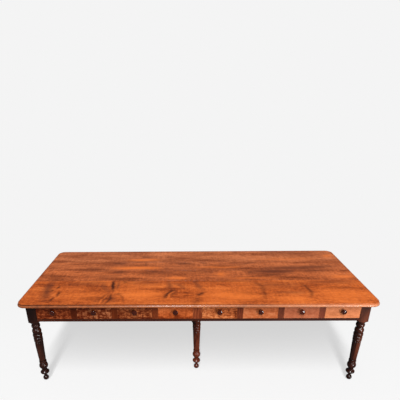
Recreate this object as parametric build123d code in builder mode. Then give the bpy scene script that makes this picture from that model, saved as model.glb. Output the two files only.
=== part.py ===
from build123d import *
import os

# A long dining table: a top of four boards on six turned and reeded legs, with eight drawers along its front.
# Lengths are in millimetres. X runs along the table, Y from its front to its back, and Z up from the floor.
# The origin lies on the floor under the middle of the top.

# Driving sizes of the table
table_height = 775.0
top_length = 2800.0
top_width = 1180.0
top_thickness = 30.0
top_overhang = 55.0
apron_height = 148.0
cut_overrun = 5.0

# Outline and moulded edge of the top: a square step set back over a round nose
top_corner_radius = 70.0
edge_step_inset = 8.0
edge_step_depth = 9.0
edge_round_radius = 11.0
edge_lower_radius = 8.0

# Widths of the boards of the top as shares of its width, from the front; the back board takes the rest
board_width_shares = (0.374, 0.194, 0.168)
board_arris = 0.6

# Loose tongues that join the boards
tongue_width = 24.0
tongue_thickness = 8.0
tongue_end_distance = 60.0
tongue_gap = 0.5

# Legs
corner_block_width = 76.0
centre_block_width = 70.0
centre_leg_inset = 156.0
block_drop = 17.0
shoulder_height = 9.0
core_overrun = 20.0

# Outline of the turned part from the floor up. Each row gives the height as a share of the turned height, the
# radius as a share of half the block, and the form of the line from the row before: "line", "ball" for an arc
# whose centre lies on the leg's axis, or "cove" for a hollow arc. The shaft's row is its core, under the reeds.
leg_outline_shares = (
    # ball foot and its neck
    (0.000, 0.210, "line"),
    (0.071, 0.340, "ball"),
    (0.116, 0.520, "cove"),
    # disc
    (0.119, 0.710, "line"),
    (0.134, 0.935, "line"),
    (0.152, 0.935, "ball"),
    (0.166, 0.710, "line"),
    (0.169, 0.605, "line"),
    # neck and ball
    (0.219, 0.735, "cove"),
    (0.295, 0.760, "ball"),
    (0.297, 0.700, "line"),
    # small bead and ring under the shaft
    (0.300, 0.763, "line"),
    (0.316, 0.763, "ball"),
    (0.319, 0.700, "line"),
    (0.323, 0.785, "line"),
    (0.342, 0.785, "line"),
    (0.345, 0.580, "line"),
    # core of the shaft
    (0.676, 0.680, "line"),
    # flat ring over the shaft
    (0.678, 0.880, "line"),
    (0.685, 0.935, "line"),
    (0.705, 0.935, "line"),
    (0.712, 0.870, "line"),
    # two beads
    (0.715, 0.920, "line"),
    (0.748, 0.920, "ball"),
    (0.754, 0.842, "line"),
    (0.759, 0.910, "line"),
    (0.807, 0.910, "ball"),
    (0.812, 0.768, "line"),
    # bulb and its neck
    (0.888, 0.750, "ball"),
    (0.912, 0.685, "cove"),
    # bead and cove under the block
    (0.916, 0.855, "line"),
    (0.952, 0.855, "ball"),
    (0.955, 0.763, "line"),
    (0.990, 0.960, "cove"),
    (1.000, 0.980, "line"),
)
cove_bow_share = 0.13

# Reeds of the shaft: round rods that lean with its taper. Their ends are given as shares of the turned height
# and of half the block, and their heads round off into the rings.
reed_count = 10
reed_radius = 10.0
reed_low_share = 0.343
reed_high_share = 0.678
reed_low_radius_share = 0.725
reed_high_radius_share = 0.910
reed_head_length = 16.0
reed_head_drop_share = 0.14

# Rails, aprons and their joints
front_reveal = 1.5
apron_reveal = 5.0
rail_depth = 60.0
bottom_rail_thickness = 23.0
top_rail_thickness = 12.0
apron_thickness = 25.0
tenon_length = 28.0
tenon_thickness = 10.0
tenon_shoulder = 18.0
rail_tenon_shoulder = 5.0
dovetail_neck_width = 30.0
dovetail_end_width = 42.0
dovetail_length = 26.0

# Dividers between the drawers
drawers_on_each_side = 4
divider_width = 46.0
centre_divider_width = 72.0
divider_thickness = 20.0
stub_length = 6.0
stub_thickness = 10.0

# Runners, guides, kickers and stops of the drawers
runner_thickness = 20.0
runner_ledge = 15.0
runner_tongue_length = 10.0
runner_tongue_thickness = 8.0
guide_height = 18.0
kicker_back_margin = 70.0
block_gap = 2.0
stop_width = 36.0
stop_depth = 22.0
stop_thickness = 5.0
stop_offset = 75.0
stop_gap = 0.3

# Drawers
drawer_depth = 440.0
drawer_side_gap = 1.0
drawer_top_gap = 1.5
front_bottom_gap = 1.0
running_gap = 0.3
drawer_front_thickness = 20.0
drawer_side_thickness = 10.0
drawer_back_thickness = 12.0
drawer_back_margin = 10.0
drawer_back_drop = 6.0
side_top_drop = 3.0
housing_depth = 4.0
bottom_thickness = 6.0
bottom_height = 10.0
groove_depth = 5.0

# Dovetails of the drawer sides; the lowest tail holds the end of the groove for the bottom
tail_count = 3
tail_length = 14.0
tail_base_width = 18.0
tail_end_width = 24.0

# Knobs. The rows of their outline are written as those of the legs, with heights as shares of how far a knob
# stands out and radii as shares of its own radius.
knob_radius = 20.0
knob_projection = 32.0
knob_rise = 10.0
knob_spigot_radius = 6.0
glue_gap = 0.1
knob_outline_shares = (
    # foot and neck
    (0.00, 0.60, "line"),
    (0.07, 0.60, "line"),
    (0.12, 0.46, "line"),
    (0.34, 0.83, "cove"),
    # round head and its domed face
    (0.86, 0.96, "ball"),
    (1.00, 0.00, "ball"),
)

# Buttons that hold the top down, and the screws. The buttons at the ends stand at shares of the room between the
# kickers and the rear legs.
button_length = 46.0
button_width = 32.0
button_thickness = 20.0
button_tongue_length = 8.0
button_tongue_thickness = 8.0
button_tongue_drop = 7.0
end_button_shares = (0.32, 0.80)
screw_head_radius = 4.5
screw_head_depth = 3.5
screw_radius = 2.2
screw_bite = 15.0

# Places worked out from the driving sizes
underside_height = table_height - top_thickness
apron_bottom_height = underside_height - apron_height
turned_height = apron_bottom_height - block_drop
block_face_x = top_length / 2 - top_overhang
block_face_y = top_width / 2 - top_overhang
corner_leg_x = block_face_x - corner_block_width / 2
corner_leg_y = block_face_y - corner_block_width / 2
centre_leg_y = corner_leg_y - centre_leg_inset
inner_x = block_face_x - corner_block_width
inner_y = block_face_y - corner_block_width
rail_front_y = -block_face_y + front_reveal
rail_back_y = rail_front_y + rail_depth
bottom_rail_top = apron_bottom_height + bottom_rail_thickness
top_rail_bottom = underside_height - top_rail_thickness
divider_back_y = rail_front_y + divider_thickness
rear_apron_front_y = block_face_y - apron_reveal - apron_thickness
end_apron_inner_x = block_face_x - apron_reveal - apron_thickness
narrow_dividers_width = 2 * (drawers_on_each_side - 1) * divider_width
openings_width = 2 * inner_x - centre_divider_width - narrow_dividers_width
opening_width = openings_width / (2 * drawers_on_each_side)
drawer_pitch = opening_width + divider_width
first_drawer_x = centre_divider_width / 2 + opening_width / 2
first_divider_x = centre_divider_width / 2 + opening_width + divider_width / 2
right_drawer_places = [first_drawer_x + i * drawer_pitch for i in range(drawers_on_each_side)]
drawer_places = [-x for x in reversed(right_drawer_places)] + right_drawer_places
right_divider_places = [first_divider_x + i * drawer_pitch for i in range(drawers_on_each_side - 1)]
divider_places = [-x for x in reversed(right_divider_places)] + right_divider_places
drawer_back_y = rail_front_y + drawer_depth
kicker_back_y = drawer_back_y + kicker_back_margin

os.makedirs("parts", exist_ok=True)


def save(piece, name):
    """Labels a finished piece and writes it to its own file."""
    piece.part.label = name
    export_step(piece.part, f"parts/{name}.step")


def save_group(pieces, name, place):
    """Writes finished pieces that touch each other as one group of separate solids, moved to a place."""
    solids = [solid.moved(place) for piece in pieces for solid in piece.part.solids()]
    export_step(Compound(label=name, children=solids), f"parts/{name}.step")


def block(low, high, mode=Mode.ADD):
    """A square block between two corners, in the part that is being made."""
    middle = tuple((a + b) / 2 for a, b in zip(low, high))
    with Locations(middle):
        Box(high[0] - low[0], high[1] - low[1], high[2] - low[2], mode=mode)


# Square blocks of the six legs, with a gap all round, which runners and guides stay clear of
with BuildPart() as leg_columns:
    column_height = table_height - turned_height
    column_middle = turned_height + column_height / 2
    with Locations((0, 0, column_middle)):
        with GridLocations(2 * corner_leg_x, 2 * corner_leg_y, 2, 2):
            Box(corner_block_width + 2 * block_gap, corner_block_width + 2 * block_gap, column_height)
        with GridLocations(0, 2 * centre_leg_y, 1, 2):
            Box(centre_block_width + 2 * block_gap, centre_block_width + 2 * block_gap, column_height)


# Cross rail that joins the centre legs to the front and to the rear apron, in three lengths
def centre_rail(front_y, back_y, front_joint, back_joint):
    """One length of the cross rail. A joint is "tenon" at a leg and "tongue" at a rail or an apron."""
    joints = {
        "tenon": (tenon_length, tenon_thickness, apron_height - 2 * tenon_shoulder, apron_height / 2),
        "tongue": (
            runner_tongue_length,
            apron_thickness,
            runner_tongue_thickness,
            bottom_rail_thickness - runner_thickness / 2,
        ),
    }
    with BuildPart() as rail:
        block(
            (-apron_thickness / 2, front_y, apron_bottom_height),
            (apron_thickness / 2, back_y, underside_height),
        )
        for shoulder_y, side, joint in ((front_y, -1, front_joint), (back_y, 1, back_joint)):
            length, width, height, middle = joints[joint]
            with Locations((0, shoulder_y + side * length / 2, apron_bottom_height + middle)):
                Box(width, length, height)
    return rail


centre_block_front_y = -centre_leg_y - centre_block_width / 2
centre_block_back_y = -centre_leg_y + centre_block_width / 2
centre_rail_front = centre_rail(rail_back_y, centre_block_front_y, "tongue", "tenon")
centre_rail_middle = centre_rail(centre_block_back_y, -centre_block_back_y, "tenon", "tenon")
centre_rail_rear = centre_rail(-centre_block_front_y, rear_apron_front_y, "tenon", "tongue")
centre_rails = (centre_rail_front, centre_rail_middle, centre_rail_rear)
save(centre_rail_front, "centre_rail_front")
save(centre_rail_middle, "centre_rail_middle")
save(centre_rail_rear, "centre_rail_rear")


# Runners under the drawer sides, one board at each divider, tongued into the front rail and the rear apron
def strip_spans(ledge):
    """The X range of the strips at each divider, the ends and the centre, with a ledge under the drawers."""
    spans = [(x - divider_width / 2 - ledge, x + divider_width / 2 + ledge) for x in divider_places]
    spans.append((-centre_divider_width / 2 - ledge, centre_divider_width / 2 + ledge))
    spans.append((-end_apron_inner_x, -inner_x + ledge))
    spans.append((inner_x - ledge, end_apron_inner_x))
    return spans


def clear_of_frame():
    """Cuts the legs and the cross rail out of the strips that are being made."""
    add(leg_columns.part, mode=Mode.SUBTRACT)
    for rail in centre_rails:
        add(rail.part, mode=Mode.SUBTRACT)


with BuildPart() as drawer_runners:
    runner_middle = bottom_rail_top - runner_thickness / 2
    for low_x, high_x in strip_spans(runner_ledge):
        block(
            (low_x, rail_back_y, bottom_rail_top - runner_thickness),
            (high_x, rear_apron_front_y, bottom_rail_top),
        )
        block(
            (low_x, rail_back_y - runner_tongue_length, runner_middle - runner_tongue_thickness / 2),
            (high_x, rear_apron_front_y + runner_tongue_length, runner_middle + runner_tongue_thickness / 2),
        )
    clear_of_frame()
save(drawer_runners, "drawer_runners")

# Guides on the runners, which keep the drawers straight
with BuildPart() as drawer_guides:
    for low_x, high_x in strip_spans(0):
        block(
            (low_x, divider_back_y, bottom_rail_top),
            (high_x, drawer_back_y, bottom_rail_top + guide_height),
        )
    clear_of_frame()
save(drawer_guides, "drawer_guides")

# Kickers over the drawer sides, under the top
with BuildPart() as drawer_kickers:
    for low_x, high_x in strip_spans(runner_ledge):
        block(
            (low_x, rail_back_y, top_rail_bottom),
            (high_x, kicker_back_y, underside_height),
        )
    clear_of_frame()
save(drawer_kickers, "drawer_kickers")

# Stops on the front rail, two behind each drawer front
with BuildPart() as drawer_stops:
    stop_front_y = rail_front_y + drawer_front_thickness + stop_gap
    for drawer_x in drawer_places:
        for side in (-1, 1):
            stop_x = drawer_x + side * stop_offset
            block(
                (stop_x - stop_width / 2, stop_front_y, bottom_rail_top),
                (stop_x + stop_width / 2, stop_front_y + stop_depth, bottom_rail_top + stop_thickness),
            )
save(drawer_stops, "drawer_stops")


# Dividers between the drawers, with a stub tenon at each end
def drawer_divider(middle_x, width):
    """A short upright between the front rails."""
    with BuildPart() as divider:
        block(
            (middle_x - width / 2, rail_front_y, bottom_rail_top),
            (middle_x + width / 2, divider_back_y, top_rail_bottom),
        )
        stub_width = width / 2
        stub_middle_y = (rail_front_y + divider_back_y) / 2
        block(
            (middle_x - stub_width / 2, stub_middle_y - stub_thickness / 2, bottom_rail_top - stub_length),
            (middle_x + stub_width / 2, stub_middle_y + stub_thickness / 2, top_rail_bottom + stub_length),
        )
    return divider


half_count = len(divider_places) // 2
divider_rows = [(x, divider_width) for x in divider_places]
divider_rows.insert(half_count, (0, centre_divider_width))
dividers = [drawer_divider(x, width) for x, width in divider_rows]
for number, divider in enumerate(dividers, start=1):
    save(divider, f"drawer_divider_{number}")

# Rail under the drawers, tenoned into the corner legs
with BuildPart() as front_bottom_rail:
    block((-inner_x, rail_front_y, apron_bottom_height), (inner_x, rail_back_y, bottom_rail_top))
    block(
        (
            -inner_x - tenon_length,
            rail_front_y + tenon_thickness,
            apron_bottom_height + rail_tenon_shoulder,
        ),
        (
            inner_x + tenon_length,
            rail_back_y - tenon_thickness,
            bottom_rail_top - rail_tenon_shoulder,
        ),
    )
    add(drawer_runners.part, mode=Mode.SUBTRACT)
    add(centre_rail_front.part, mode=Mode.SUBTRACT)
    for divider in dividers:
        add(divider.part, mode=Mode.SUBTRACT)
save(front_bottom_rail, "front_bottom_rail")

# Screws: up through the buttons and the top rail, into the top
rail_screw_places = [(x, (rail_front_y + rail_back_y) / 2, top_rail_bottom) for x in drawer_places[::2]]
button_bottom = underside_height - button_thickness
button_screw_y = rear_apron_front_y - button_length / 2
rear_button_places = [(x, button_screw_y, button_bottom) for x in drawer_places[::2]]
end_button_x = end_apron_inner_x - button_length / 2
end_button_places = [
    (side * end_button_x, kicker_back_y + share * (inner_y - kicker_back_y), button_bottom)
    for side in (-1, 1)
    for share in end_button_shares
]


def screw_solid(foot, length):
    """A countersunk screw that points up, with the flat of its head at a point."""
    with BuildSketch(Plane(origin=foot, x_dir=(1, 0, 0), z_dir=(0, -1, 0))) as outline:
        Polygon(
            (0, 0),
            (screw_head_radius, 0),
            (screw_radius, screw_head_depth),
            (screw_radius, length),
            (0, length),
            align=None,
        )
    revolve(outline.sketch, axis=Axis(foot, (0, 0, 1)))


with BuildPart() as top_screws:
    for place in rail_screw_places:
        screw_solid(place, top_rail_thickness + screw_bite)
    for place in rear_button_places + end_button_places:
        screw_solid(place, button_thickness + screw_bite)
save(top_screws, "top_screws")

# Rail over the drawers, lapped into the tops of the corner legs with a dovetail
with BuildPart() as front_top_rail:
    block((-inner_x, rail_front_y, top_rail_bottom), (inner_x, rail_back_y, underside_height))
    dovetail_middle_y = (rail_front_y + rail_back_y) / 2
    with BuildSketch(Plane.XY.offset(top_rail_bottom)):
        for side in (-1, 1):
            Polygon(
                (side * inner_x, dovetail_middle_y - dovetail_neck_width / 2),
                (side * (inner_x + dovetail_length), dovetail_middle_y - dovetail_end_width / 2),
                (side * (inner_x + dovetail_length), dovetail_middle_y + dovetail_end_width / 2),
                (side * inner_x, dovetail_middle_y + dovetail_neck_width / 2),
                align=None,
            )
    extrude(amount=top_rail_thickness)
    for divider in dividers:
        add(divider.part, mode=Mode.SUBTRACT)
    add(top_screws.part, mode=Mode.SUBTRACT)
save(front_top_rail, "front_top_rail")


# Buttons: blocks under the top whose tongue sits in a groove of the apron
def button(place, towards):
    """A button round a screw's place. Its tongue points along towards, a direction in plan."""
    place_x, place_y, _ = place
    plane = Plane(origin=(place_x, place_y, button_bottom), x_dir=(*towards, 0), z_dir=(0, 0, 1))
    tongue_bottom = button_thickness - button_tongue_drop - button_tongue_thickness
    with BuildSketch(plane) as body:
        Rectangle(button_length, button_width)
    extrude(body.sketch, amount=button_thickness)
    with BuildSketch(plane.offset(tongue_bottom)) as tongue:
        with Locations((button_length / 2, 0)):
            Rectangle(button_tongue_length, button_width, align=(Align.MIN, Align.CENTER))
    extrude(tongue.sketch, amount=button_tongue_thickness)


with BuildPart() as top_buttons:
    for place in rear_button_places:
        button(place, (0, 1))
    for place in end_button_places:
        button(place, (1 if place[0] > 0 else -1, 0))
    add(top_screws.part, mode=Mode.SUBTRACT)
save(top_buttons, "top_buttons")

# Aprons at the back and at the ends, tenoned into the corner legs
with BuildPart() as rear_apron:
    rear_apron_back_y = rear_apron_front_y + apron_thickness
    rear_tenon_y = rear_apron_front_y + apron_thickness / 2
    block(
        (-inner_x, rear_apron_front_y, apron_bottom_height),
        (inner_x, rear_apron_back_y, underside_height),
    )
    block(
        (
            -inner_x - tenon_length,
            rear_tenon_y - tenon_thickness / 2,
            apron_bottom_height + tenon_shoulder,
        ),
        (
            inner_x + tenon_length,
            rear_tenon_y + tenon_thickness / 2,
            underside_height - tenon_shoulder,
        ),
    )
    add(drawer_runners.part, mode=Mode.SUBTRACT)
    add(centre_rail_rear.part, mode=Mode.SUBTRACT)
    add(top_buttons.part, mode=Mode.SUBTRACT)
save(rear_apron, "rear_apron")


def end_apron(side):
    """The apron at one end; side is -1 at the left and 1 at the right."""
    middle_x = side * (end_apron_inner_x + apron_thickness / 2)
    with BuildPart() as apron:
        with Locations((middle_x, 0, (apron_bottom_height + underside_height) / 2)):
            Box(apron_thickness, 2 * inner_y, apron_height)
            Box(tenon_thickness, 2 * inner_y + 2 * tenon_length, apron_height - 2 * tenon_shoulder)
        add(top_buttons.part, mode=Mode.SUBTRACT)
    return apron


end_apron_left = end_apron(-1)
end_apron_right = end_apron(1)
save(end_apron_left, "end_apron_left")
save(end_apron_right, "end_apron_right")


# Legs: a turned outline, a reeded shaft and a square block
def reeded_shaft(half_block):
    """The shaft between its rings: leaning round reeds with rounded heads, as a solid on the Z axis."""
    low = reed_low_share * turned_height
    high = reed_high_share * turned_height
    low_radius = reed_low_radius_share * half_block
    high_radius = reed_high_radius_share * half_block
    low_drop = reed_head_drop_share * low_radius
    high_drop = reed_head_drop_share * high_radius
    foot = Vector(low_radius - reed_radius, 0, low)
    lean = Vector(high_radius - reed_radius, 0, high) - foot
    with BuildPart() as reed:
        with BuildSketch(Plane(origin=foot, x_dir=(0, 1, 0), z_dir=lean)):
            Circle(reed_radius)
        extrude(amount=lean.length, both=True)
    with BuildPart() as shaft:
        with PolarLocations(0, reed_count):
            add(reed.part)
        with BuildSketch(Plane.XZ):
            Polygon(
                (0, low),
                (low_radius - low_drop, low),
                (low_radius + low_drop, low + 2 * reed_head_length),
                (high_radius + high_drop, high - 2 * reed_head_length),
                (high_radius - high_drop, high),
                (0, high),
                align=None,
            )
        revolve(axis=Axis.Z, mode=Mode.INTERSECT)
    return shaft


def outline_step(start, end, form):
    """One line or arc of a turned outline, in the sketch line that is being made."""
    if form == "line":
        Line(start, end)
        return
    if form == "cove":
        chord = (Vector(*end) - Vector(*start)).length
        SagittaArc(start, end, cove_bow_share * chord)
        return
    start_radius, start_height = start
    end_radius, end_height = end
    squares = end_radius**2 - start_radius**2 + end_height**2 - start_height**2
    centre_height = squares / (2 * (end_height - start_height))
    ball_radius = (start_radius**2 + (start_height - centre_height) ** 2) ** 0.5
    middle_height = (start_height + end_height) / 2
    middle_radius = (ball_radius**2 - (middle_height - centre_height) ** 2) ** 0.5
    ThreePointArc(start, (middle_radius, middle_height), end)


def turned_outline(start, rows, height, radius):
    """The rows of a turned outline from a start, in the sketch line that is being made; gives its last point."""
    point = start
    for height_share, radius_share, form in rows:
        following = (radius_share * radius, height_share * height)
        outline_step(point, following, form)
        point = following
    return point


def turned_leg(block_width):
    """A whole leg on the Z axis, from the floor to the underside of the top."""
    half_block = block_width / 2
    shaft = reeded_shaft(half_block)
    with BuildPart() as leg:
        with BuildSketch(Plane.XY.offset(turned_height)):
            Rectangle(block_width, block_width)
        extrude(amount=underside_height - turned_height)
        with BuildSketch(Plane.XZ):
            Polygon(
                (0, turned_height),
                (half_block, turned_height),
                (block_width, turned_height + 2 * shoulder_height),
                (block_width, underside_height),
                (0, underside_height),
                align=None,
            )
        revolve(axis=Axis.Z, mode=Mode.INTERSECT)
        with BuildSketch(Plane.XZ):
            with BuildLine():
                top_point = turned_outline((0, 0), leg_outline_shares, turned_height, half_block)
                inside = turned_height + core_overrun
                Polyline(top_point, (top_point[0] / 2, inside), (0, inside), (0, 0))
            make_face()
        revolve(axis=Axis.Z)
        add(shaft.part)
    return leg


corner_leg = turned_leg(corner_block_width)
centre_leg = turned_leg(centre_block_width)


def placed_leg(pattern, x, y, joined):
    """A leg at its place, with a mortise or socket for each joined piece."""
    with BuildPart() as leg:
        with Locations((x, y)):
            add(pattern.part)
        for piece in joined:
            add(piece.part, mode=Mode.SUBTRACT)
    return leg


front_joined = (front_bottom_rail, front_top_rail)
save(placed_leg(corner_leg, -corner_leg_x, -corner_leg_y, (*front_joined, end_apron_left)), "leg_front_left")
save(placed_leg(corner_leg, corner_leg_x, -corner_leg_y, (*front_joined, end_apron_right)), "leg_front_right")
save(placed_leg(corner_leg, -corner_leg_x, corner_leg_y, (rear_apron, end_apron_left)), "leg_rear_left")
save(placed_leg(corner_leg, corner_leg_x, corner_leg_y, (rear_apron, end_apron_right)), "leg_rear_right")
save(placed_leg(centre_leg, 0, -centre_leg_y, (centre_rail_front, centre_rail_middle)), "leg_front_centre")
save(placed_leg(centre_leg, 0, centre_leg_y, (centre_rail_middle, centre_rail_rear)), "leg_rear_centre")

# Loose tongues in the joints of the top
joint_shares = [sum(board_width_shares[: i + 1]) for i in range(len(board_width_shares))]
joint_places = [(share - 1 / 2) * top_width for share in joint_shares]
tongue_middle = underside_height + top_thickness / 2
with BuildPart() as top_tongues:
    with Locations([(0, y, tongue_middle) for y in joint_places]):
        Box(top_length - 2 * tongue_end_distance, tongue_width, tongue_thickness)
save(top_tongues, "top_tongues")

# The whole top, before it is divided into boards
with BuildPart() as whole_top:
    with BuildSketch(Plane.XY.offset(underside_height)):
        RectangleRounded(top_length, top_width, top_corner_radius)
    extrude(amount=top_thickness - edge_step_depth)
    fillet(whole_top.faces().sort_by(Axis.Z)[-1].edges(), edge_round_radius)
    fillet(whole_top.faces().sort_by(Axis.Z)[0].edges(), edge_lower_radius)
    with BuildSketch(Plane.XY.offset(table_height - edge_step_depth)):
        RectangleRounded(
            top_length - 2 * edge_step_inset,
            top_width - 2 * edge_step_inset,
            top_corner_radius - edge_step_inset,
        )
    extrude(amount=edge_step_depth)


def top_board(front_y, back_y, arris_places):
    """One board of the top, with grooves for the tongues and a fine arris at its joints."""
    reach = top_length / 2 + cut_overrun
    groove_width = tongue_width + 2 * tongue_gap
    with BuildPart() as board:
        add(whole_top.part)
        block(
            (-reach, front_y, underside_height - cut_overrun),
            (reach, back_y, table_height + cut_overrun),
            mode=Mode.INTERSECT,
        )
        top_edges = board.faces().sort_by(Axis.Z)[-1].edges().filter_by(Axis.X)
        for place in arris_places:
            near = top_edges.filter_by_position(Axis.Y, place - board_arris, place + board_arris)
            chamfer(near, board_arris)
        with Locations([(0, y, tongue_middle) for y in joint_places]):
            Box(
                top_length - 2 * tongue_end_distance + 2 * tongue_gap,
                groove_width,
                tongue_thickness,
                mode=Mode.SUBTRACT,
            )
        add(top_screws.part, mode=Mode.SUBTRACT)
    return board


board_lines = [-top_width / 2, *joint_places, top_width / 2]
for number in range(1, len(board_lines)):
    front_line = board_lines[number - 1]
    back_line = board_lines[number]
    joints = [y for y in (front_line, back_line) if y in joint_places]
    front_y = front_line if front_line in joint_places else front_line - cut_overrun
    back_y = back_line if back_line in joint_places else back_line + cut_overrun
    save(top_board(front_y, back_y, joints), f"top_board_{number}")

# One drawer, made on the line X = 0 and then placed eight times
drawer_width = opening_width - 2 * drawer_side_gap
drawer_half = drawer_width / 2
side_inner_x = drawer_half - drawer_side_thickness
front_low = bottom_rail_top + front_bottom_gap
front_high = top_rail_bottom - drawer_top_gap
front_inner_y = rail_front_y + drawer_front_thickness
side_low = bottom_rail_top + running_gap
side_high = front_high - side_top_drop
panel_low = bottom_rail_top + bottom_height
panel_high = panel_low + bottom_thickness
back_high = side_high - drawer_back_drop
back_rear_y = drawer_back_y - drawer_back_margin

with BuildPart() as bottom_panel:
    block(
        (-side_inner_x - groove_depth, front_inner_y - groove_depth, panel_low),
        (side_inner_x + groove_depth, drawer_back_y, panel_high),
    )

with BuildPart() as back_board:
    block(
        (-side_inner_x - housing_depth, back_rear_y - drawer_back_thickness, panel_high),
        (side_inner_x + housing_depth, back_rear_y, back_high),
    )


def drawer_side(side):
    """A drawer side with dovetails at its front end; side is -1 at the left and 1 at the right."""
    outer_x = side * drawer_half
    inner_face_x = side * side_inner_x
    lowest_tail = (panel_low + panel_high) / 2
    highest_tail = side_high - (lowest_tail - side_low)
    with BuildPart() as board:
        block(
            (min(outer_x, inner_face_x), front_inner_y, side_low),
            (max(outer_x, inner_face_x), drawer_back_y, side_high),
        )
        with BuildSketch(Plane.YZ.offset(min(outer_x, inner_face_x))):
            for i in range(tail_count):
                middle = lowest_tail + i / (tail_count - 1) * (highest_tail - lowest_tail)
                Polygon(
                    (front_inner_y, middle - tail_base_width / 2),
                    (front_inner_y - tail_length, middle - tail_end_width / 2),
                    (front_inner_y - tail_length, middle + tail_end_width / 2),
                    (front_inner_y, middle + tail_base_width / 2),
                    align=None,
                )
        extrude(amount=drawer_side_thickness)
        add(bottom_panel.part, mode=Mode.SUBTRACT)
        add(back_board.part, mode=Mode.SUBTRACT)
    return board


drawer_sides = (drawer_side(-1), drawer_side(1))
knob_height = (front_low + front_high) / 2 + knob_rise

with BuildPart() as knob:
    with BuildSketch(Plane(origin=(0, rail_front_y, knob_height), x_dir=(1, 0, 0), z_dir=(0, 0, -1))):
        with BuildLine():
            spigot_point = (knob_spigot_radius, 0)
            face_point = turned_outline(spigot_point, knob_outline_shares, knob_projection, knob_radius)
            Polyline(
                face_point,
                (0, -drawer_front_thickness),
                (knob_spigot_radius, -drawer_front_thickness),
                spigot_point,
            )
        make_face()
    revolve(axis=Axis((0, rail_front_y, knob_height), (0, 1, 0)))

with BuildPart() as front_board:
    block((-drawer_half, rail_front_y, front_low), (drawer_half, front_inner_y, front_high))
    add(bottom_panel.part, mode=Mode.SUBTRACT)
    for board in drawer_sides:
        add(board.part, mode=Mode.SUBTRACT)
    with Locations(Plane(origin=(0, rail_front_y, knob_height), x_dir=(1, 0, 0), z_dir=(0, -1, 0))):
        Hole(knob_spigot_radius + glue_gap)

for number, drawer_x in enumerate(drawer_places, start=1):
    place = Location((drawer_x, 0, 0))
    save_group((front_board,), f"drawer_{number}_front", place)
    save_group((*drawer_sides, back_board, bottom_panel), f"drawer_{number}_box", place)
    save_group((knob,), f"drawer_{number}_knob", place)
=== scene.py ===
import bpy
import numpy as np
from mathutils import Matrix, Vector


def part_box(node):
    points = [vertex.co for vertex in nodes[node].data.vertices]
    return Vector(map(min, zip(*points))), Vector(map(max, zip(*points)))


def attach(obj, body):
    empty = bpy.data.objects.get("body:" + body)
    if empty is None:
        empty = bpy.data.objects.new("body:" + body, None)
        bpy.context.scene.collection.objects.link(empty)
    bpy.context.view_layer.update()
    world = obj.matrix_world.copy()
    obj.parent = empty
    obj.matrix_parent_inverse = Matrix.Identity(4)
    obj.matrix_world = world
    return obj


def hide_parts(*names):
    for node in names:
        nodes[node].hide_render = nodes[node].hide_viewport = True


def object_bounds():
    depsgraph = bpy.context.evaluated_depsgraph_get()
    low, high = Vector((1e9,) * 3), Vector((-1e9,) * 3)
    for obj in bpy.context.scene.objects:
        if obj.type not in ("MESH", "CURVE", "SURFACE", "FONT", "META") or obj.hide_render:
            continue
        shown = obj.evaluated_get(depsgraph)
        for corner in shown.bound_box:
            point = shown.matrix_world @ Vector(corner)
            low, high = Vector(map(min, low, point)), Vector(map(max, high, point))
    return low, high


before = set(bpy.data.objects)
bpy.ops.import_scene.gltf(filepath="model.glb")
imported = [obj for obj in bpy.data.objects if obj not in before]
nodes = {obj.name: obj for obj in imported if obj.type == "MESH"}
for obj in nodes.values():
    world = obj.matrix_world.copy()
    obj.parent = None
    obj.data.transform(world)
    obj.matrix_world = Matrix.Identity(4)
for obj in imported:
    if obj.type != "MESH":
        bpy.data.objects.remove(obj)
cad_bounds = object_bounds()

# A long dining table with eight drawers. Lengths are in metres, in the frame's own axes: X along the table,
# Y from its front to its back, Z up from the floor.

# Sizes that the surfaces below share with the frame
TURNED_HEIGHT = 0.580
UNDERSIDE = 0.745
CORNER_BLOCK = 0.076
CENTRE_BLOCK = 0.070
CORNER_LEGS = {
    "leg_front_left": (-1.307, -0.497),
    "leg_front_right": (1.307, -0.497),
    "leg_rear_left": (-1.307, 0.497),
    "leg_rear_right": (1.307, 0.497),
}
CENTRE_LEGS = {"leg_front_centre": (0.0, -0.341), "leg_rear_centre": (0.0, 0.341)}
FRONT_FACE = -0.5335
FRONT_THICKNESS = 0.020
KNOB_RADIUS = 0.020
KNOB_PROJECTION = 0.032
KNOB_SPIGOT = 0.006
TOP_CORNER = 0.070
EDGE_STEP_INSET = 0.008

# Outline of the turned part of a leg, as in the frame: height share, radius share, form of the line before it
LEG_OUTLINE = (
    (0.000, 0.210, "line"),
    (0.071, 0.340, "ball"),
    (0.116, 0.520, "cove"),
    (0.119, 0.710, "line"),
    (0.134, 0.935, "line"),
    (0.152, 0.935, "ball"),
    (0.166, 0.710, "line"),
    (0.169, 0.605, "line"),
    (0.219, 0.735, "cove"),
    (0.295, 0.760, "ball"),
    (0.297, 0.700, "line"),
    (0.300, 0.763, "line"),
    (0.316, 0.763, "ball"),
    (0.319, 0.700, "line"),
    (0.323, 0.785, "line"),
    (0.342, 0.785, "line"),
    (0.345, 0.580, "line"),
    (0.676, 0.680, "line"),
    (0.678, 0.880, "line"),
    (0.685, 0.935, "line"),
    (0.705, 0.935, "line"),
    (0.712, 0.870, "line"),
    (0.715, 0.920, "line"),
    (0.748, 0.920, "ball"),
    (0.754, 0.842, "line"),
    (0.759, 0.910, "line"),
    (0.807, 0.910, "ball"),
    (0.812, 0.768, "line"),
    (0.888, 0.750, "ball"),
    (0.912, 0.685, "cove"),
    (0.916, 0.855, "line"),
    (0.952, 0.855, "ball"),
    (0.955, 0.763, "line"),
    (0.990, 0.960, "cove"),
    (1.000, 0.980, "line"),
)
COVE_BOW = 0.13

# The shaft: the straight stretch of its core as height shares and radius shares, and the height shares between
# which its reeds stand
SHAFT_HEIGHTS = (0.345, 0.676)
SHAFT_RADII = (0.580, 0.680)
REEDED = (0.3456, 0.6755)

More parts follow.
